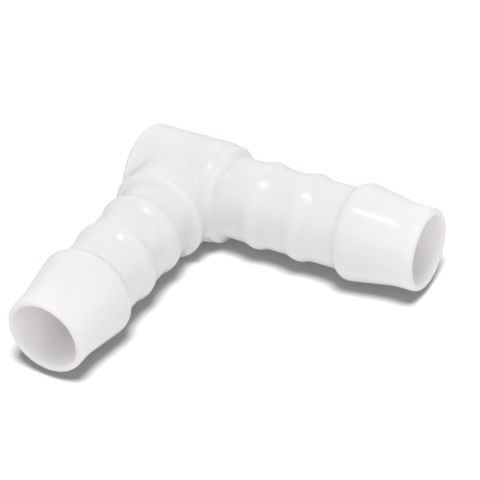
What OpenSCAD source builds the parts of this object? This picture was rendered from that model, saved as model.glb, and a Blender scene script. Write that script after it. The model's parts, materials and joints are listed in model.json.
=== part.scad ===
// Elbow hose connector: two equal hose arms at a right angle on a round hub.
// Millimetres. The arms' axes cross at the origin. The branch arm runs along +X.
// The main arm runs along +Y, in line with the hub, whose flat heel faces -Y.

/* [Overall] */
// Length from the flat heel of the hub to the mouth of the main arm
length = 46.15; // [43.5:0.05:60]
// Outer diameter of each arm between its ribs, the inner diameter of the hose
arm_d = 12; // [10:0.1:16]
// Thickness of the arms' wall between the ribs
wall = 1.5; // [1:0.05:2]

/* [Hub] */
// Height of the hub's side above the arms' surface
hub_rise = 1.5; // [1.4:0.05:2.5]
// Distance that the flat heel stands out past the branch arm's root rib
heel_rise = 0.1; // [0.1:0.05:2]
// Distance that the hub's shoulder lies within the radius of the arms
shoulder_inset = 0.05; // [0.05:0.05:0.5]
// Rounding of the hub's two end edges
hub_edge = 0.45; // [0.1:0.05:0.8]
// Distance that the main bore runs on past the branch bore, towards the heel
bore_past = 0.4; // [0.2:0.05:1]

/* [Root rib] */
// Distance from the hub's shoulder to the crest of the main arm's root rib
shoulder_gap = 0.85; // [0.7:0.05:1.5]
// Distance from the hub's side to the crest of the branch arm's root rib
side_gap = 1.1; // [0.7:0.05:1.5]
// Height of the root rib above the arm
root_rise = 1.25; // [0.8:0.05:1.3]
// Radius of the root rib's crest
root_crest = 0.7; // [0.5:0.05:1]
// Radius of the hollow at the foot of the root rib
root_foot = 0.9; // [0.8:0.1:2]
// Depth of the groove between the hub and the root rib
root_groove = 0.15; // [0.05:0.05:0.4]

/* [Ribs] */
// Number of gripping ribs on each arm
rib_count = 2; // [1:1:2]
// Distance from the root rib's crest to the first rib's crest on the main arm
rib_gap = 6.4; // [5.5:0.1:7]
// Distance that the ribs of the branch arm lie further out than those of the main arm
branch_shift = 0.6; // [0:0.1:1]
// Distance from one rib's crest to the next
rib_pitch = 6.8; // [5:0.1:7.6]
// Height of a rib above the arm
rib_rise = 0.5; // [0.2:0.05:0.8]
// Radius of a rib's crest
rib_crest = 2.2; // [1:0.1:2.6]
// Radius of the hollow at the foot of each rib
foot_round = 3; // [0.8:0.1:3.4]

/* [Collar] */
// Height of the collar's crest above the arm
collar_rise = 1.12; // [0.6:0.02:1.8]
// Radius of the collar's crest
collar_crest = 2; // [1:0.1:2.6]
// Radius of the hollow at the foot of the collar's back
collar_foot = 0.6; // [0.4:0.1:2]
// Length of the lead-in taper, from the collar's crest to the tip
taper = 6.9; // [5:0.1:9]
// Radius of the hollow where the taper meets the tip
taper_foot = 10; // [2:1:12]

/* [Tip] */
// Length of the tip, from the end of the taper to the mouth
tip = 3.6; // [2.4:0.1:5]
// Outer rounding of the rim
rim_round = 0.75; // [0.3:0.05:0.75]
// Inner rounding of the rim
mouth_round = 0.18; // [0.05:0.01:0.2]
// Thickness of the wall at the mouth
rim_wall = 0.97; // [0.97:0.01:1.4]
// Depth over which the bore widens to the mouth
mouth_depth = 6; // [2:0.1:12]

/* [Hidden] */
$fn = 96;
arm_r = arm_d / 2;
bore_r = arm_r - wall;
hub_r = arm_r + hub_rise;
mouth_r = arm_r - rim_wall;
heel = arm_r + root_rise + heel_rise;
shoulder_at = arm_r - shoulder_inset;
main_root = shoulder_at + shoulder_gap;
branch_root = hub_r + side_gap;
main_rib = main_root + rib_gap;
branch_rib = main_rib + branch_shift;
reach = length - heel;
collar_at = reach - tip - taper;
groove_r = arm_r + root_rise - root_groove;
// Neighbouring arcs cut this far into each other, so that they cross and don't just touch
bite = 0.002;
lip_step = 30;
overlap = 1;

// Half the width of a bump whose crest arc and foot arc meet smoothly
function bump_half(rise, crest, foot) = sqrt(2 * rise * (crest + foot) - rise * rise);

// Half disc under a crest, from its highest point on along +Y
module crest_disc(rise, crest) {
    intersection() {
        translate([arm_r + rise - crest, 0]) circle(crest);
        square([arm_r + rise, crest]);
    }
}

// One side of a bump on the arm's outline, falling away along +Y
module bump_side(rise, crest, foot) {
    half = bump_half(rise, crest, foot);
    share = crest / (crest + foot);
    join = [arm_r + rise - share * rise, share * half];
    difference() {
        union() {
            crest_disc(rise, crest);
            polygon([[0, 0], [join[0], 0], join, [arm_r, half], [0, half]]);
        }
        translate([arm_r + foot - bite, half]) circle(foot);
    }
}

module rib_outline() {
    bump_side(rib_rise, rib_crest, foot_round);
    mirror([0, 1]) bump_side(rib_rise, rib_crest, foot_round);
}

// The root rib falls to the arm on one side and to the groove on the other
module root_outline() {
    bump_side(root_rise, root_crest, root_foot);
    mirror([0, 1]) crest_disc(root_rise, root_crest);
}

// The collar has a steep back towards the hub and a long taper towards the mouth
module collar_outline() {
    centre_r = arm_r + collar_rise - collar_crest;
    lean = atan2(taper, arm_r - centre_r) - acos(collar_crest / norm([taper, arm_r - centre_r]));
    touch = [centre_r, 0] + (collar_crest - bite) * [cos(lean), sin(lean)];
    soft = taper_foot * tan(lean / 2);
    foot_start = [arm_r, taper] + soft * [sin(lean), -cos(lean)];
    foot_end = [arm_r, taper + soft];
    mirror([0, 1]) bump_side(collar_rise, collar_crest, collar_foot);
    crest_disc(collar_rise, collar_crest);
    difference() {
        polygon([[0, 0], [touch[0], 0], touch, foot_start, foot_end, [0, taper + soft]]);
        translate(foot_end + [taper_foot - bite, 0]) circle(taper_foot);
    }
}

// Half section of a solid arm, as radius and distance along the arm
module arm_outline(start, root, rib) {
    round_at = reach - rim_round;
    translate([0, start]) square([arm_r, round_at - start]);
    translate([0, start]) square([groove_r, root - start]);
    translate([0, root]) root_outline();
    for (i = [0 : rib_count - 1])
        translate([0, rib + i * rib_pitch]) rib_outline();
    translate([0, collar_at]) collar_outline();
    translate([0, round_at]) square([arm_r - rim_round, rim_round]);
    translate([arm_r - rim_round, round_at]) intersection() {
        circle(rim_round);
        square(rim_round);
    }
}

// Half section of the hub, a plain disc with both end edges rounded
module hub_outline() {
    ends = [-heel + hub_edge, shoulder_at - hub_edge];
    translate([0, ends[0]]) square([hub_r, ends[1] - ends[0]]);
    translate([0, -heel]) square([hub_r - hub_edge, heel + shoulder_at]);
    translate([hub_r - hub_edge, ends[1]]) intersection() {
        circle(hub_edge);
        square(hub_edge);
    }
    translate([hub_r - hub_edge, ends[0]]) mirror([0, 1]) intersection() {
        circle(hub_edge);
        square(hub_edge);
    }
}

// Half section of a bore, which widens to the mouth and rolls over the rim
module bore_outline(start) {
    lip = [mouth_r + mouth_round, reach - mouth_round];
    roll = [for (a = [0 : lip_step : 90]) lip + mouth_round * [-cos(a), sin(a)]];
    polygon(concat(
        [[0, start], [bore_r, start], [bore_r, reach - mouth_depth]],
        roll,
        [[lip[0], reach + overlap], [0, reach + overlap]]
    ));
}

module along_x() { rotate([0, 90, 0]) rotate_extrude() children(); }
module along_y() { rotate([-90, 0, 0]) rotate_extrude() children(); }

module elbow_connector() {
    color([0.94, 0.93, 0.93]) difference() {
        union() {
            along_y() hub_outline();
            along_y() arm_outline(shoulder_at - overlap, main_root, main_rib);
            along_x() arm_outline(0, branch_root, branch_rib);
        }
        along_y() bore_outline(-bore_r - bore_past);
        along_x() bore_outline(0);
    }
}

elbow_connector();
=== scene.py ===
"""Looks of the elbow hose connector: one milky moulded plastic piece in a plain pale studio.

It is laid out as an add-on and run as a script. Lengths are in metres, in the frame of the CAD model:
the arms' axes cross at the origin, the branch arm runs along +X and the main arm along +Y.
"""

import json
import math

import bpy
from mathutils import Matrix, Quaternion, Vector


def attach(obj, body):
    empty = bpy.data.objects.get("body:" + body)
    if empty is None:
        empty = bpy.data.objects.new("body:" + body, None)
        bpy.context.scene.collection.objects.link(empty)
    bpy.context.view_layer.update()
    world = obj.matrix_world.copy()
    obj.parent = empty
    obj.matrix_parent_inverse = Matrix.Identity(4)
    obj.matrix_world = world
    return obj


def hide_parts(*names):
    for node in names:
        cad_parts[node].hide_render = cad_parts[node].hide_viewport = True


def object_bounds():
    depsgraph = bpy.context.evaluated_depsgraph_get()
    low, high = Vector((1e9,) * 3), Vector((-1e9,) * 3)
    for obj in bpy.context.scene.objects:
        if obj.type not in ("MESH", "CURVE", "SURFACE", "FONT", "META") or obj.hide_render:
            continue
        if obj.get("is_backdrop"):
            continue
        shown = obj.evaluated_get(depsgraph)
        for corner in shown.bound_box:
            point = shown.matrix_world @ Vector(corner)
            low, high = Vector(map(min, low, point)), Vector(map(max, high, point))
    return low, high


bl_info = {
    "name": "Elbow hose connector",
    "version": (1, 0, 0),
    "blender": (4, 5, 0),
    "location": "View3D > Sidebar > Hose elbow",
    "description": "Builds a moulded elbow hose connector and the studio that it lies in",
    "category": "Object",
}

CAD_NODE = "elbow_connector"
PIECE = "hose_elbow"
MM = 0.001

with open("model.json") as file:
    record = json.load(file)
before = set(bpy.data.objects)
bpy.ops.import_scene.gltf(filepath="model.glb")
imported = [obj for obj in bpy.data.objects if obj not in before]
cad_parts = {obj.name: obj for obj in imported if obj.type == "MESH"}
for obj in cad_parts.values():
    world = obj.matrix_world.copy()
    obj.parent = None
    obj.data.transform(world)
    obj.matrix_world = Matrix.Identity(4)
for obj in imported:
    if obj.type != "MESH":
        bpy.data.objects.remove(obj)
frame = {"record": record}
CAD_BOX = [list(corner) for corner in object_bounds()]
BORE = next(mount for mount in frame["record"]["mounts"] if mount["name"] == "main_bore")

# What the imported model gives: the mouths, the heel, the hub and the bore
REACH = CAD_BOX[1][1]
HEEL = -CAD_BOX[0][1]
HUB_RADIUS = CAD_BOX[1][2]
BORE_RADIUS = BORE["dims"]["r_mm"] * MM
ARM_RADIUS = 6.0 * MM


def length(label, about, default):
    """A length that a user can change, in metres."""
    return bpy.props.FloatProperty(
        name=label, description=about, default=default, min=0, unit="LENGTH", precision=5
    )


def angle(label, about, degrees):
    """An angle that a user can change, shown in degrees."""
    return bpy.props.FloatProperty(
        name=label, description=about, default=math.radians(degrees), subtype="ANGLE"
    )


def share(label, about, default, top=1.0):
    """A plain number from nought up to a top."""
    return bpy.props.FloatProperty(name=label, description=about, default=default, min=0, max=top)


def colour(label, about, default):
    """A colour with no alpha."""
    return bpy.props.FloatVectorProperty(
        name=label, description=about, default=default, size=3, min=0, max=1, subtype="COLOR"
    )


class ElbowSizes(bpy.types.PropertyGroup):
    """Sizes of the moulded connector."""

    arm_radius: length("Arm radius", "Radius of each arm between its ribs", ARM_RADIUS)
    bore_radius: length("Bore radius", "Radius of the straight bore through each arm", BORE_RADIUS)
    reach: length("Reach", "Distance from the axes' crossing to each mouth", REACH)
    heel: length("Heel", "Distance from the axes' crossing to the flat heel", HEEL)
    hub_radius: length("Hub radius", "Radius of the round hub", HUB_RADIUS)
    hub_shoulder: length("Hub shoulder", "Where the hub ends on the main arm", 5.95 * MM)
    hub_edge: length("Hub edge", "Rounding of the hub's two end edges", 0.45 * MM)
    bore_past: length("Bore past", "How far the main bore runs past the branch bore", 0.4 * MM)
    main_root: length("Main root rib at", "Distance from the axes' crossing to the main root rib", 6.8 * MM)
    branch_root: length("Branch root rib at", "Distance from the crossing to the branch root rib", 8.6 * MM)
    root_rise: length("Root rib height", "Height of the root rib above the arm", 1.25 * MM)
    root_crest: length("Root rib crest", "Radius of the root rib's crest", 0.7 * MM)
    root_foot: length("Root rib foot", "Radius of the hollow at the root rib's foot", 0.9 * MM)
    root_groove: length("Root groove", "Depth of the groove behind the root rib", 0.15 * MM)
    rib_count: bpy.props.IntProperty(name="Ribs", description="Gripping ribs on each arm", default=2, min=1)
    main_rib: length("First main rib at", "Distance from the crossing to the main arm's rib", 13.2 * MM)
    branch_rib: length("First branch rib at", "Distance from the crossing to the branch's rib", 13.8 * MM)
    rib_pitch: length("Rib pitch", "Distance from one rib to the next", 6.8 * MM)
    rib_rise: length("Rib height", "Height of a rib above the arm", 0.5 * MM)
    rib_crest: length("Rib crest", "Radius of a rib's crest", 2.2 * MM)
    rib_foot: length("Rib foot", "Radius of the hollow at a rib's foot", 3.0 * MM)
    collar_at: length("Collar at", "Distance from the axes' crossing to the collar's crest", 28.3 * MM)
    collar_rise: length("Collar height", "Height of the collar above the arm", 1.12 * MM)
    collar_crest: length("Collar crest", "Radius of the collar's crest", 2.0 * MM)
    collar_foot: length("Collar foot", "Radius of the hollow behind the collar", 0.6 * MM)
    taper: length("Taper", "Length of the lead-in from the collar's crest to the tip", 6.9 * MM)
    taper_foot: length("Taper foot", "Radius of the hollow where the taper meets the tip", 10.0 * MM)
    rim_round: length("Rim rounding", "Outer rounding of the rim", 0.75 * MM)
    mouth_radius: length("Mouth radius", "Radius of the open mouth", 5.03 * MM)
    mouth_depth: length("Mouth depth", "Depth over which the bore widens to the mouth", 6.0 * MM)
    mouth_round: length("Mouth rounding", "Inner rounding of the rim", 0.18 * MM)
    grain: length("Mesh grain", "Edge length of the finished mesh", 0.29 * MM)
    soft_passes: bpy.props.IntProperty(
        name="Softening", description="Passes that soften the moulded edges", default=3, min=0
    )


class PlasticFinish(bpy.types.PropertyGroup):
    """Finish of the milky plastic."""

    tint: colour("Tint", "Colour of the plastic in white light", (0.965, 0.94, 0.942))
    cloud_tint: colour("Cloud tint", "Colour of the denser clouds in the plastic", (0.935, 0.915, 0.912))
    cloud_size: length("Cloud size", "Size of the milky clouds", 6.0 * MM)
    gloss: share("Roughness", "Roughness of the moulded skin", 0.24)
    glow: share("Glow", "How much light spreads inside the plastic before it comes back", 1.0)
    glow_depth: length("Glow depth", "How far light spreads inside the plastic", 1.6 * MM)
    through: share("Translucency", "How much light passes on through the plastic's walls", 0.35)
    skin_wave: length("Skin wave", "Height of the skin's broad unevenness", 0.01 * MM)
    wave_width: length("Wave width", "Width of the skin's broad unevenness", 2.5 * MM)


class StudioSettings(bpy.types.PropertyGroup):
    """Light, floor and camera of the studio."""

    floor_tint: colour("Floor tint", "Colour of the floor", (0.42, 0.42, 0.42))
    floor_lift: share("Floor lift", "White that the camera sees in the floor besides its light", 0.1)
    sky_level: share("Sky level", "Light from all round, where 1 shows white as white", 0.16, 2)
    lamp_distance: length("Lamp distance", "Distance from the lamps to the connector", 0.6)
    lamp_level: share("Lamp level", "Light on the connector from the small lamp", 0.19, 2)
    lamp_width: length("Lamp width", "Width of the small lamp", 0.11)
    lamp_tilt: angle("Lamp tilt", "How far the small lamp stands off the upright", 8)
    lamp_azimuth: angle("Lamp azimuth", "Direction of the small lamp, from +X towards +Y", 95)
    second_level: share("Second lamp level", "Light on the connector from another small lamp", 0.1, 2)
    second_width: length("Second lamp width", "Width of the second small lamp", 0.11)
    second_tilt: angle("Second lamp tilt", "How far the second lamp stands off the upright", 8)
    second_azimuth: angle("Second lamp azimuth", "Direction of the second lamp, from +X towards +Y", -34)
    front_level: share("Front box level", "Light on the connector from the box beside the camera", 0.4, 2)
    front_width: length("Front box width", "Width of the box beside the camera", 0.8)
    front_tilt: angle("Front box tilt", "How far the front box stands off the upright", 50)
    front_azimuth: angle("Front box azimuth", "Direction of the front box, from +X towards +Y", 32)
    side_level: share("Side box level", "Light on the connector from each of three more boxes", 0.24, 2)
    side_width: length("Side box width", "Width of each of those boxes", 0.8)
    side_tilt: angle("Side box tilt", "How far those boxes stand off the upright", 57)
    floor_lamp_level: share("Floor lamp level", "Light on the floor, which gives the shadow", 2.35, 4)
    floor_lamp_width: length("Floor lamp width", "Width of the lamp that lights the floor", 0.7)
    floor_lamp_away: length("Floor lamp distance", "Distance from that lamp to the connector", 2.0)
    floor_lamp_tilt: angle("Floor lamp tilt", "How far the floor's lamp stands off the upright", 21)
    floor_lamp_azimuth: angle("Floor lamp azimuth", "Direction of the floor's lamp", 39)
    aim: bpy.props.FloatVectorProperty(
        name="Aim",
        description="Point that the camera looks at",
        default=(0.82 * MM, 8.43 * MM, -7.15 * MM),
        subtype="XYZ",
        unit="LENGTH",
    )
    view_distance: length("View distance", "Distance from the aim to the camera", 298.7 * MM)
    view_azimuth: angle("View azimuth", "Camera's direction from the aim, from +X towards +Y", 32.27)
    view_elevation: angle("View elevation", "Camera's height above the horizon", 37.16)
    view_roll: angle("View roll", "Turn of the camera about its own line of sight", 4.66)
    focal_length: bpy.props.FloatProperty(
        name="Focal length", description="Lens on a 36 mm sensor, in millimetres", default=152.49
    )


class Tree:
    """A Geometry Nodes tree in the making, with short calls for its nodes, inputs and links."""

    def __init__(self, name):
        self.tree = bpy.data.node_groups.new(name, "GeometryNodeTree")
        self.inputs = self.tree.nodes.new("NodeGroupInput")
        self.outputs = self.tree.nodes.new("NodeGroupOutput")

    def ask(self, name, kind="NodeSocketFloat"):
        """Adds a named input to the tree and gives its socket inside."""
        self.tree.interface.new_socket(name, in_out="INPUT", socket_type=kind)
        return self.inputs.outputs[name]

    def give(self, name, value, kind="NodeSocketFloat"):
        """Adds a named output to the tree and feeds it."""
        self.tree.interface.new_socket(name, in_out="OUTPUT", socket_type=kind)
        self.feed(self.outputs.inputs[name], value)

    def feed(self, socket, value):
        """Links a socket to another, or sets its value."""
        if isinstance(value, bpy.types.NodeSocket):
            self.tree.links.new(value, socket)
        else:
            socket.default_value = value

    def node(self, kind, feeds=(), **settings):
        """Adds a node, sets it and feeds its inputs, given by name or number."""
        made = self.tree.nodes.new(kind)
        for key, value in settings.items():
            setattr(made, key, value)
        for key, value in dict(feeds).items():
            self.feed(made.inputs[key], value)
        return made

    def math(self, operation, *values):
        """A Math node's result."""
        return self.node("ShaderNodeMath", enumerate(values), operation=operation).outputs[0]

    def pick(self, test, when_true, when_false):
        """One of two numbers, by a test."""
        chosen = self.node("GeometryNodeSwitch", input_type="FLOAT")
        self.feed(chosen.inputs["Switch"], test)
        self.feed(chosen.inputs["True"], when_true)
        self.feed(chosen.inputs["False"], when_false)
        return chosen.outputs[0]

    def less(self, a, b):
        """Whether one number is less than another."""
        found = self.node("FunctionNodeCompare", data_type="FLOAT", operation="LESS_THAN")
        self.feed(found.inputs["A"], a)
        self.feed(found.inputs["B"], b)
        return found.outputs[0]

    def group(self, made, **feeds):
        """Places another tree as a group and gives its first output."""
        named = {key.replace("_", " ").capitalize(): value for key, value in feeds.items()}
        return self.node("GeometryNodeGroup", named, node_tree=made).outputs[0]


def arc_height_tree():
    """Height of a rounded crest at a distance from its top."""
    t = Tree("Arc height")
    distance, rise, crest = t.ask("Distance"), t.ask("Rise"), t.ask("Crest")
    inner = t.math("SUBTRACT", t.math("MULTIPLY", crest, crest), t.math("MULTIPLY", distance, distance))
    drop = t.math("SUBTRACT", crest, t.math("SQRT", t.math("MAXIMUM", inner, 0.0)))
    t.give("Height", t.math("SUBTRACT", rise, drop))
    return t.tree


def bump_height_tree(arc_height):
    """Height of a bump whose crest arc and foot arc meet smoothly."""
    t = Tree("Bump height")
    distance, rise, crest, foot = (t.ask(name) for name in ("Distance", "Rise", "Crest", "Foot"))
    both = t.math("ADD", crest, foot)
    half = t.math(
        "SQRT",
        t.math("MULTIPLY", rise, t.math("SUBTRACT", t.math("MULTIPLY", both, 2.0), rise)),
    )
    join = t.math("MULTIPLY", half, t.math("DIVIDE", crest, both))
    on_crest = t.group(arc_height, distance=distance, rise=rise, crest=crest)
    from_end = t.math("MAXIMUM", t.math("SUBTRACT", half, distance), 0.0)
    on_foot = t.math("MULTIPLY", t.group(arc_height, distance=from_end, rise=0.0, crest=foot), -1.0)
    t.give("Height", t.pick(t.less(distance, join), on_crest, on_foot))
    return t.tree


def arm_radius_tree(arc_height, bump_height):
    """Radius of an arm's outside at a place along it."""
    t = Tree("Arm outline")
    along = t.ask("Along")
    arm, reach = t.ask("Arm radius"), t.ask("Reach")
    root_at, root_rise, root_crest, root_foot, root_groove = (
        t.ask(name) for name in ("Root at", "Root rise", "Root crest", "Root foot", "Root groove")
    )
    rib_count = t.ask("Rib count", "NodeSocketInt")
    rib_first, rib_pitch, rib_rise, rib_crest, rib_foot = (
        t.ask(name) for name in ("Rib first", "Rib pitch", "Rib rise", "Rib crest", "Rib foot")
    )
    collar_at, collar_rise, collar_crest, collar_foot = (
        t.ask(name) for name in ("Collar at", "Collar rise", "Collar crest", "Collar foot")
    )
    taper, taper_foot, rim_round = (t.ask(name) for name in ("Taper", "Taper foot", "Rim round"))

    # Root rib: a groove behind its crest, a smooth fall before it
    from_root = t.math("SUBTRACT", along, root_at)
    groove = t.math("SUBTRACT", root_rise, root_groove)
    behind = t.group(
        arc_height, distance=t.math("MINIMUM", t.math("ABSOLUTE", from_root), root_crest),
        rise=root_rise, crest=root_crest,
    )
    before = t.group(bump_height, distance=from_root, rise=root_rise, crest=root_crest, foot=root_foot)
    root = t.pick(t.less(from_root, 0.0), t.math("MAXIMUM", behind, groove), before)

    # Ribs: the distance to the nearest crest of the row
    step = t.math("ROUND", t.math("DIVIDE", t.math("SUBTRACT", along, rib_first), rib_pitch))
    last = t.math("SUBTRACT", rib_count, 1.0)
    step = t.math("MINIMUM", t.math("MAXIMUM", step, 0.0), last)
    nearest = t.math("MULTIPLY_ADD", step, rib_pitch, rib_first)
    from_rib = t.math("ABSOLUTE", t.math("SUBTRACT", along, nearest))
    rib = t.group(bump_height, distance=from_rib, rise=rib_rise, crest=rib_crest, foot=rib_foot)

    # Collar: a steep back, and a taper that touches the crest's arc
    from_collar = t.math("SUBTRACT", along, collar_at)
    sunk = t.math("SUBTRACT", collar_crest, collar_rise)
    slant = t.math(
        "SQRT", t.math("ADD", t.math("MULTIPLY", taper, taper), t.math("MULTIPLY", sunk, sunk))
    )
    lean = t.math(
        "SUBTRACT",
        t.math("ARCTAN2", taper, sunk),
        t.math("ARCCOSINE", t.math("DIVIDE", collar_crest, slant)),
    )
    touch_at = t.math("MULTIPLY", collar_crest, t.math("SINE", lean))
    touch_height = t.math("SUBTRACT", t.math("MULTIPLY", collar_crest, t.math("COSINE", lean)), sunk)
    front = t.group(
        arc_height, distance=t.math("MINIMUM", t.math("ABSOLUTE", from_collar), collar_crest),
        rise=collar_rise, crest=collar_crest,
    )
    left = t.math("DIVIDE", t.math("SUBTRACT", taper, from_collar), t.math("SUBTRACT", taper, touch_at))
    slope = t.math("MULTIPLY", touch_height, left)
    soft = t.math("MULTIPLY", taper_foot, t.math("TANGENT", t.math("MULTIPLY", lean, 0.5)))
    to_end = t.math("MAXIMUM", t.math("SUBTRACT", t.math("ADD", taper, soft), from_collar), 0.0)
    on_foot = t.group(arc_height, distance=to_end, rise=0.0, crest=taper_foot)
    hollow = t.math("MULTIPLY", on_foot, -1.0)
    foot_start = t.math("SUBTRACT", taper, t.math("MULTIPLY", soft, t.math("COSINE", lean)))
    slope = t.pick(t.less(from_collar, foot_start), slope, hollow)
    lead_in = t.pick(t.less(from_collar, touch_at), front, slope)
    back = t.group(
        bump_height, distance=t.math("ABSOLUTE", from_collar), rise=collar_rise, crest=collar_crest,
        foot=collar_foot,
    )
    collar = t.pick(t.less(from_collar, 0.0), back, lead_in)

    # Tip: a rounded rim
    round_start = t.math("SUBTRACT", reach, rim_round)
    past = t.math("MINIMUM", t.math("MAXIMUM", t.math("SUBTRACT", along, round_start), 0.0), rim_round)
    fall = t.group(arc_height, distance=past, rise=0.0, crest=rim_round)

    height = t.math("MAXIMUM", t.math("MAXIMUM", root, rib), collar)
    t.give("Radius", t.math("ADD", t.math("ADD", arm, height), fall))
    return t.tree


def hub_radius_tree(arc_height):
    """Radius of the hub at a place along the main arm: a disc with both end edges rounded."""
    t = Tree("Hub outline")
    along, radius, heel, shoulder, edge = (
        t.ask(name) for name in ("Along", "Hub radius", "Heel", "Shoulder", "Edge")
    )
    to_heel = t.math("ADD", along, heel)
    to_shoulder = t.math("SUBTRACT", shoulder, along)
    near = t.math("MINIMUM", to_heel, to_shoulder)
    past = t.math("MINIMUM", t.math("MAXIMUM", t.math("SUBTRACT", edge, near), 0.0), edge)
    t.give("Radius", t.math("ADD", radius, t.group(arc_height, distance=past, rise=0.0, crest=edge)))
    return t.tree


def bore_radius_tree(arc_height):
    """Radius of a bore at a place along it: straight, then wider to the mouth, then rolled over the rim."""
    t = Tree("Bore outline")
    along, bore, mouth, depth, reach, rolled = (
        t.ask(name) for name in ("Along", "Bore radius", "Mouth radius", "Depth", "Reach", "Roll")
    )
    start = t.math("SUBTRACT", reach, depth)
    grown = t.math("DIVIDE", t.math("SUBTRACT", along, start), t.math("SUBTRACT", depth, rolled))
    grown = t.math("MINIMUM", t.math("MAXIMUM", grown, 0.0), 1.0)
    widened = t.math("MULTIPLY_ADD", t.math("SUBTRACT", mouth, bore), grown, bore)
    past = t.math("SUBTRACT", along, t.math("SUBTRACT", reach, rolled))
    past = t.math("MINIMUM", t.math("MAXIMUM", past, 0.0), rolled)
    roll = t.math("MULTIPLY", t.group(arc_height, distance=past, rise=0.0, crest=rolled), -1.0)
    t.give("Radius", t.math("ADD", widened, roll))
    return t.tree


def turned_body_tree():
    """A closed body turned about the Y axis, whose radius is a rule of the place along it."""
    t = Tree("Turned body")
    start, end, radius = t.ask("Start"), t.ask("End"), t.ask("Radius")
    rings, corners = t.ask("Rings", "NodeSocketInt"), t.ask("Corners", "NodeSocketInt")
    points = [t.node("ShaderNodeCombineXYZ", {"Y": place}).outputs[0] for place in (start, end)]
    line = t.node("GeometryNodeCurvePrimitiveLine", {"Start": points[0], "End": points[1]}).outputs[0]
    line = t.node("GeometryNodeResampleCurve", {"Curve": line, "Count": rings}).outputs[0]
    circle = t.node(
        "GeometryNodeCurvePrimitiveCircle", {"Resolution": corners, "Radius": 1.0}, mode="RADIUS"
    ).outputs[0]
    body = t.node(
        "GeometryNodeCurveToMesh",
        {"Curve": line, "Profile Curve": circle, "Scale": radius, "Fill Caps": True},
    ).outputs[0]
    t.give("Body", body, "NodeSocketGeometry")
    return t.tree


# Rings and corners of the turned bodies, fine enough for the mesh grain
ARM_RINGS = 520
HUB_RINGS = 240
BORE_RINGS = 420
CORNERS = 160

# How far each bore's cutter stands out past its mouth
PAST_MOUTH = 1.0 * MM

# Which sizes the connector's tree asks for, and which of them both arms share
NOT_IN_TREE = ("grain", "soft_passes")
SIZE_INPUTS = [name for name in ElbowSizes.__annotations__ if name not in NOT_IN_TREE]
WHOLE_NUMBERS = ("rib_count",)
SHARED_BY_ARMS = (
    "arm_radius", "reach", "root_rise", "root_crest", "root_foot", "root_groove", "rib_count",
    "rib_pitch", "rib_rise", "rib_crest", "rib_foot", "collar_at", "collar_rise", "collar_crest",
    "collar_foot", "taper", "taper_foot", "rim_round",
)


def connector_tree():
    """The whole connector: a hub and two arms joined, with two bores cut through them."""
    arc_height = arc_height_tree()
    bump_height = bump_height_tree(arc_height)
    arm_outline = arm_radius_tree(arc_height, bump_height)
    hub_outline = hub_radius_tree(arc_height)
    bore_outline = bore_radius_tree(arc_height)
    turned_body = turned_body_tree()

    t = Tree("Elbow connector")
    s = {}
    for name in SIZE_INPUTS:
        kind = "NodeSocketInt" if name in WHOLE_NUMBERS else "NodeSocketFloat"
        s[name] = t.ask(ElbowSizes.bl_rna.properties[name].name, kind)
    material = t.ask("Plastic", "NodeSocketMaterial")
    place = t.node("GeometryNodeInputPosition").outputs[0]
    along = t.node("ShaderNodeSeparateXYZ", {0: place}).outputs["Y"]

    def arm_radius(root_at, rib_first):
        return t.group(
            arm_outline, along=along, root_at=root_at, rib_first=rib_first,
            **{name: s[name] for name in SHARED_BY_ARMS},
        )

    hub_radius = t.group(
        hub_outline, along=along, hub_radius=s["hub_radius"], heel=s["heel"],
        shoulder=s["hub_shoulder"], edge=s["hub_edge"],
    )
    bore_radius = t.group(
        bore_outline, along=along, bore_radius=s["bore_radius"], mouth_radius=s["mouth_radius"],
        depth=s["mouth_depth"], reach=s["reach"], roll=s["mouth_round"],
    )

    def turned(start, end, radius, rings):
        return t.group(turned_body, start=start, end=end, radius=radius, rings=rings, corners=CORNERS)

    def along_x(body):
        quarter = (0.0, 0.0, -math.pi / 2)
        return t.node("GeometryNodeTransform", {"Geometry": body, "Rotation": quarter}).outputs[0]

    past_mouth = t.math("ADD", s["reach"], PAST_MOUTH)
    blind_end = t.math("MULTIPLY", t.math("ADD", s["bore_radius"], s["bore_past"]), -1.0)
    hub = turned(t.math("MULTIPLY", s["heel"], -1.0), s["hub_shoulder"], hub_radius, HUB_RINGS)
    main_arm = turned(0.0, s["reach"], arm_radius(s["main_root"], s["main_rib"]), ARM_RINGS)
    branch_arm = turned(0.0, s["reach"], arm_radius(s["branch_root"], s["branch_rib"]), ARM_RINGS)
    main_bore = turned(blind_end, past_mouth, bore_radius, BORE_RINGS)
    branch_bore = along_x(turned(0.0, past_mouth, bore_radius, BORE_RINGS))

    solid = t.node("GeometryNodeMeshBoolean", operation="UNION", solver="MANIFOLD")
    for body in (hub, main_arm, along_x(branch_arm)):
        t.feed(solid.inputs["Mesh 2"], body)
    for bore in (main_bore, branch_bore):
        cut = t.node("GeometryNodeMeshBoolean", {"Mesh 1": solid.outputs[0]}, operation="DIFFERENCE",
                     solver="MANIFOLD")
        t.feed(cut.inputs["Mesh 2"], bore)
        solid = cut
    whole = t.node("GeometryNodeRealizeInstances", {"Geometry": solid.outputs[0]}).outputs[0]
    whole = t.node("GeometryNodeSetMaterial", {"Geometry": whole, "Material": material}).outputs[0]
    t.give("Connector", whole, "NodeSocketGeometry")
    return t.tree


# Weight of each neighbour beside that of the point itself in one softening pass
SOFT_WEIGHT = 0.5


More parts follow.
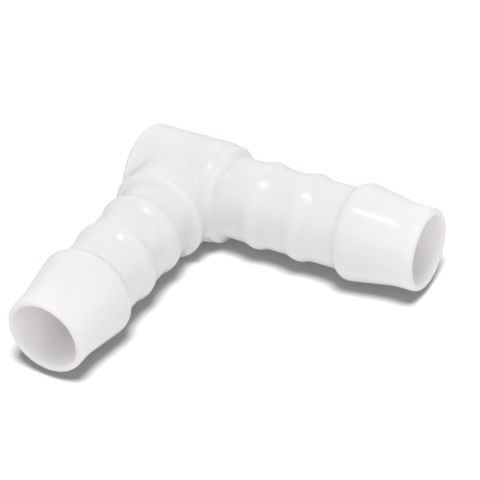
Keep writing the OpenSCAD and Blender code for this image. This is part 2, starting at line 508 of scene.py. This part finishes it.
def softened_tree():
    """Softens the edges of a fine even mesh a little, as moulding does."""
    t = Tree("Softened edges")
    body = t.ask("Body", "NodeSocketGeometry")
    passes = t.ask("Passes", "NodeSocketInt")
    material = t.ask("Plastic", "NodeSocketMaterial")
    place = t.node("GeometryNodeInputPosition").outputs[0]
    blurred = t.node("GeometryNodeBlurAttribute", data_type="FLOAT_VECTOR")
    vector_input = next(i for i in blurred.inputs if i.name == "Value" and i.enabled)
    t.feed(vector_input, place)
    t.feed(blurred.inputs["Iterations"], passes)
    t.feed(blurred.inputs["Weight"], SOFT_WEIGHT)
    moved = next(o for o in blurred.outputs if o.enabled)
    body = t.node("GeometryNodeSetPosition", {"Geometry": body, "Position": moved}).outputs[0]
    body = t.node("GeometryNodeSetShadeSmooth", {"Geometry": body, "Shade Smooth": True}).outputs[0]
    body = t.node("GeometryNodeRealizeInstances", {"Geometry": body}).outputs[0]
    body = t.node("GeometryNodeSetMaterial", {"Geometry": body, "Material": material}).outputs[0]
    t.give("Body", body, "NodeSocketGeometry")
    return t.tree


def set_inputs(modifier, values):
    """Sets a Geometry Nodes modifier's inputs by socket identifier, from a dict by socket name."""
    for item in modifier.node_group.interface.items_tree:
        if item.item_type == "SOCKET" and item.in_out == "INPUT" and item.name in values:
            modifier[item.identifier] = values[item.name]


def baked(holder, name):
    """A plain mesh object from an object's evaluated modifiers, in place of it."""
    depsgraph = bpy.context.evaluated_depsgraph_get()
    mesh = bpy.data.meshes.new_from_object(holder.evaluated_get(depsgraph))
    mesh.name = name
    piece = bpy.data.objects.new(name, mesh)
    bpy.context.scene.collection.objects.link(piece)
    bpy.data.objects.remove(holder)
    return piece


# The plastic's refractive index, and how much further red light spreads in it than green and blue
PLASTIC_IOR = 1.5
SPREAD_BY_COLOUR = (1.0, 0.95, 0.9)

# How finely broken up the plastic's clouds and the skin's waves are
CLOUD_DETAIL = 3
WAVE_DETAIL = 2


def milky_plastic(finish):
    """Material: milky, slightly translucent moulded plastic with a soft gloss."""
    material = bpy.data.materials.new("milky_plastic")
    material.use_nodes = True
    nodes, links = material.node_tree.nodes, material.node_tree.links
    shader = nodes["Principled BSDF"]
    shader.inputs["Roughness"].default_value = finish.gloss
    shader.inputs["IOR"].default_value = PLASTIC_IOR
    shader.inputs["Subsurface Weight"].default_value = finish.glow
    shader.inputs["Subsurface Radius"].default_value = SPREAD_BY_COLOUR
    shader.inputs["Subsurface Scale"].default_value = finish.glow_depth

    coordinates = nodes.new("ShaderNodeTexCoord")
    clouds = nodes.new("ShaderNodeTexNoise")
    clouds.inputs["Scale"].default_value = 1 / finish.cloud_size
    clouds.inputs["Detail"].default_value = CLOUD_DETAIL
    links.new(coordinates.outputs["Object"], clouds.inputs["Vector"])
    tints = nodes.new("ShaderNodeMix")
    tints.data_type = "RGBA"
    tints.inputs["A"].default_value = (*finish.tint, 1)
    tints.inputs["B"].default_value = (*finish.cloud_tint, 1)
    links.new(clouds.outputs["Fac"], tints.inputs["Factor"])
    links.new(tints.outputs["Result"], shader.inputs["Base Color"])

    waves = nodes.new("ShaderNodeTexNoise")
    waves.inputs["Scale"].default_value = 1 / finish.wave_width
    waves.inputs["Detail"].default_value = WAVE_DETAIL
    links.new(coordinates.outputs["Object"], waves.inputs["Vector"])
    bump = nodes.new("ShaderNodeBump")
    bump.inputs["Distance"].default_value = finish.skin_wave
    links.new(waves.outputs["Fac"], bump.inputs["Height"])
    links.new(bump.outputs["Normal"], shader.inputs["Normal"])

    passing = nodes.new("ShaderNodeBsdfTranslucent")
    links.new(tints.outputs["Result"], passing.inputs["Color"])
    milky = nodes.new("ShaderNodeMixShader")
    milky.inputs["Fac"].default_value = finish.through
    links.new(shader.outputs[0], milky.inputs[1])
    links.new(passing.outputs[0], milky.inputs[2])
    links.new(milky.outputs[0], nodes["Material Output"].inputs["Surface"])
    return material


class HOSE_ELBOW_OT_connector(bpy.types.Operator):
    """Builds the moulded connector in place of its CAD solid"""

    bl_idname = "hose_elbow.connector"
    bl_label = "Build connector"

    def execute(self, context):
        sizes, finish = context.scene.elbow_sizes, context.scene.elbow_finish
        plastic = milky_plastic(finish)
        holder = bpy.data.objects.new("elbow_holder", bpy.data.meshes.new("elbow_holder"))
        context.scene.collection.objects.link(holder)
        shape = holder.modifiers.new("Shape", "NODES")
        shape.node_group = connector_tree()
        labels = ElbowSizes.bl_rna.properties
        values = {labels[name].name: getattr(sizes, name) for name in SIZE_INPUTS}
        set_inputs(shape, {**values, "Plastic": plastic})
        even = holder.modifiers.new("Even mesh", "REMESH")
        even.mode = "VOXEL"
        even.voxel_size = sizes.grain
        even.use_smooth_shade = True
        soft = holder.modifiers.new("Softened edges", "NODES")
        soft.node_group = softened_tree()
        set_inputs(soft, {"Passes": sizes.soft_passes, "Plastic": plastic})
        piece = baked(holder, PIECE)
        if not piece.data.polygons:
            raise RuntimeError("the connector's tree gave no mesh")
        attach(piece, "root")
        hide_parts(CAD_NODE)
        return {"FINISHED"}


WHITE = (1, 1, 1, 1)
FLOOR_HALF_WIDTH = 1.5

# The camera's sensor in millimetres, and the nearest and farthest things that it shows in metres
SENSOR_WIDTH = 36
NEAREST = 0.01
FARTHEST = 10


def shown_as_white(nodes, links):
    """A factor of 1 for what the camera, gloss and clear glass show, and 0 for scattered light."""
    path = nodes.new("ShaderNodeLightPath")
    shown = path.outputs["Is Camera Ray"]
    for ray in ("Is Glossy Ray", "Is Transmission Ray"):
        either = nodes.new("ShaderNodeMath")
        either.operation = "MAXIMUM"
        links.new(shown, either.inputs[0])
        links.new(path.outputs[ray], either.inputs[1])
        shown = either.outputs[0]
    clear = nodes.new("ShaderNodeMath")
    clear.operation = "SUBTRACT"
    clear.use_clamp = True
    links.new(shown, clear.inputs[0])
    links.new(path.outputs["Is Diffuse Ray"], clear.inputs[1])
    return clear.outputs[0]


def floor_material(studio):
    """Material: a plain floor that shows as white, with its shadows."""
    material = bpy.data.materials.new("pale_floor")
    material.use_nodes = True
    nodes, links = material.node_tree.nodes, material.node_tree.links
    nodes.clear()
    paint = nodes.new("ShaderNodeBsdfDiffuse")
    paint.inputs["Color"].default_value = (*studio.floor_tint, 1)
    lift = nodes.new("ShaderNodeEmission")
    lift.inputs["Strength"].default_value = studio.floor_lift
    both = nodes.new("ShaderNodeAddShader")
    links.new(paint.outputs[0], both.inputs[0])
    links.new(lift.outputs[0], both.inputs[1])
    choice = nodes.new("ShaderNodeMixShader")
    links.new(shown_as_white(nodes, links), choice.inputs["Fac"])
    links.new(paint.outputs[0], choice.inputs[1])
    links.new(both.outputs[0], choice.inputs[2])
    out = nodes.new("ShaderNodeOutputMaterial")
    links.new(choice.outputs[0], out.inputs["Surface"])
    return material


def studio_world(studio):
    """World: even light from all round, which shows as white."""
    world = bpy.data.worlds.new("studio")
    world.use_nodes = True
    nodes, links = world.node_tree.nodes, world.node_tree.links
    sky = nodes["Background"]
    sky.inputs["Color"].default_value = WHITE
    sky.inputs["Strength"].default_value = studio.sky_level
    white = nodes.new("ShaderNodeBackground")
    white.inputs["Color"].default_value = WHITE
    choice = nodes.new("ShaderNodeMixShader")
    links.new(shown_as_white(nodes, links), choice.inputs["Fac"])
    links.new(sky.outputs[0], choice.inputs[1])
    links.new(white.outputs[0], choice.inputs[2])
    links.new(choice.outputs[0], nodes["World Output"].inputs["Surface"])
    return world


def direction(azimuth, elevation):
    """Unit vector at an azimuth from +X towards +Y and an elevation above the horizon."""
    flat = math.cos(elevation)
    return Vector((flat * math.cos(azimuth), flat * math.sin(azimuth), math.sin(elevation)))


class HOSE_ELBOW_OT_stage(bpy.types.Operator):
    """Sets the floor, the light and the camera"""

    bl_idname = "hose_elbow.stage"
    bl_label = "Set stage"

    def execute(self, context):
        studio = context.scene.elbow_studio
        floor = self.lay_floor(context, studio)
        piece = bpy.data.objects[PIECE]
        away = studio.lamp_distance
        lamps = [
            ("lamp", piece, away, studio.lamp_azimuth),
            ("second", piece, away, studio.second_azimuth),
            ("front", piece, away, studio.front_azimuth),
            ("floor_lamp", floor, studio.floor_lamp_away, studio.floor_lamp_azimuth),
        ]
        lamps += [("side", piece, away, studio.front_azimuth + i * math.pi / 2) for i in (1, 2, 3)]
        for name, lit, away, azimuth in lamps:
            self.hang_lamp(context, name, lit, away, azimuth)
        self.place_camera(context, studio)
        context.scene.world = studio_world(studio)
        context.scene.view_settings.view_transform = "Standard"
        return {"FINISHED"}

    def lay_floor(self, context, studio):
        """A wide floor at the height of the connector's lowest point."""
        half = FLOOR_HALF_WIDTH
        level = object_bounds()[0].z
        corners = [(-half, -half, level), (half, -half, level), (half, half, level), (-half, half, level)]
        mesh = bpy.data.meshes.new("floor")
        mesh.from_pydata(corners, [], [(0, 1, 2, 3)])
        mesh.materials.append(floor_material(studio))
        floor = bpy.data.objects.new("floor", mesh)
        context.scene.collection.objects.link(floor)
        floor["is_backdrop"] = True
        return floor

    def hang_lamp(self, context, name, lit, away, azimuth):
        """A round lamp above that lights one thing, at a level where 1 shows white as white."""
        studio = context.scene.elbow_studio
        level, width, tilt = (getattr(studio, name + end) for end in ("_level", "_width", "_tilt"))
        lamp = bpy.data.lights.new(name, "AREA")
        lamp.shape = "DISK"
        lamp.size = width
        lamp.energy = level * math.pi ** 2 * (away ** 2 + width ** 2 / 4)
        hung = bpy.data.objects.new(name, lamp)
        way = direction(azimuth, math.pi / 2 - tilt)
        hung.location = Vector(studio.aim) + way * away
        hung.rotation_mode = "QUATERNION"
        hung.rotation_quaternion = (-way).to_track_quat("-Z", "Y")
        context.scene.collection.objects.link(hung)
        receivers = bpy.data.collections.new("lit_by_" + name)
        receivers.objects.link(lit)
        hung.light_linking.receiver_collection = receivers

    def place_camera(self, context, studio):
        """The camera at the photograph's viewing angle."""
        camera = bpy.data.objects.new("camera", bpy.data.cameras.new("camera"))
        back = direction(studio.view_azimuth, studio.view_elevation)
        camera.location = Vector(studio.aim) + back * studio.view_distance
        camera.rotation_mode = "QUATERNION"
        upright = (-back).to_track_quat("-Z", "Y")
        camera.rotation_quaternion = upright @ Quaternion((0, 0, 1), -studio.view_roll)
        camera.data.sensor_width = SENSOR_WIDTH
        camera.data.lens = studio.focal_length
        camera.data.clip_start = NEAREST
        camera.data.clip_end = FARTHEST
        context.scene.collection.objects.link(camera)
        context.scene.camera = camera


class HOSE_ELBOW_PT_panel(bpy.types.Panel):
    """Sizes, finish and studio of the elbow hose connector"""

    bl_idname = "HOSE_ELBOW_PT_panel"
    bl_label = "Hose elbow"
    bl_space_type = "VIEW_3D"
    bl_region_type = "UI"
    bl_category = "Hose elbow"

    def draw(self, context):
        steps = (
            (context.scene.elbow_sizes, None),
            (context.scene.elbow_finish, HOSE_ELBOW_OT_connector.bl_idname),
            (context.scene.elbow_studio, HOSE_ELBOW_OT_stage.bl_idname),
        )
        for group, operator in steps:
            box = self.layout.box()
            for name in group.__annotations__:
                box.prop(group, name)
            if operator:
                box.operator(operator)


CLASSES = (
    ElbowSizes,
    PlasticFinish,
    StudioSettings,
    HOSE_ELBOW_OT_connector,
    HOSE_ELBOW_OT_stage,
    HOSE_ELBOW_PT_panel,
)
SETTINGS = {"elbow_sizes": ElbowSizes, "elbow_finish": PlasticFinish, "elbow_studio": StudioSettings}


def register():
    for cls in CLASSES:
        bpy.utils.register_class(cls)
    for name, group in SETTINGS.items():
        setattr(bpy.types.Scene, name, bpy.props.PointerProperty(type=group))


def unregister():
    for name in SETTINGS:
        delattr(bpy.types.Scene, name)
    for cls in reversed(CLASSES):
        bpy.utils.unregister_class(cls)


def main():
    register()
    bpy.ops.hose_elbow.connector()
    bpy.ops.hose_elbow.stage()


if __name__ == "__main__":
    main()
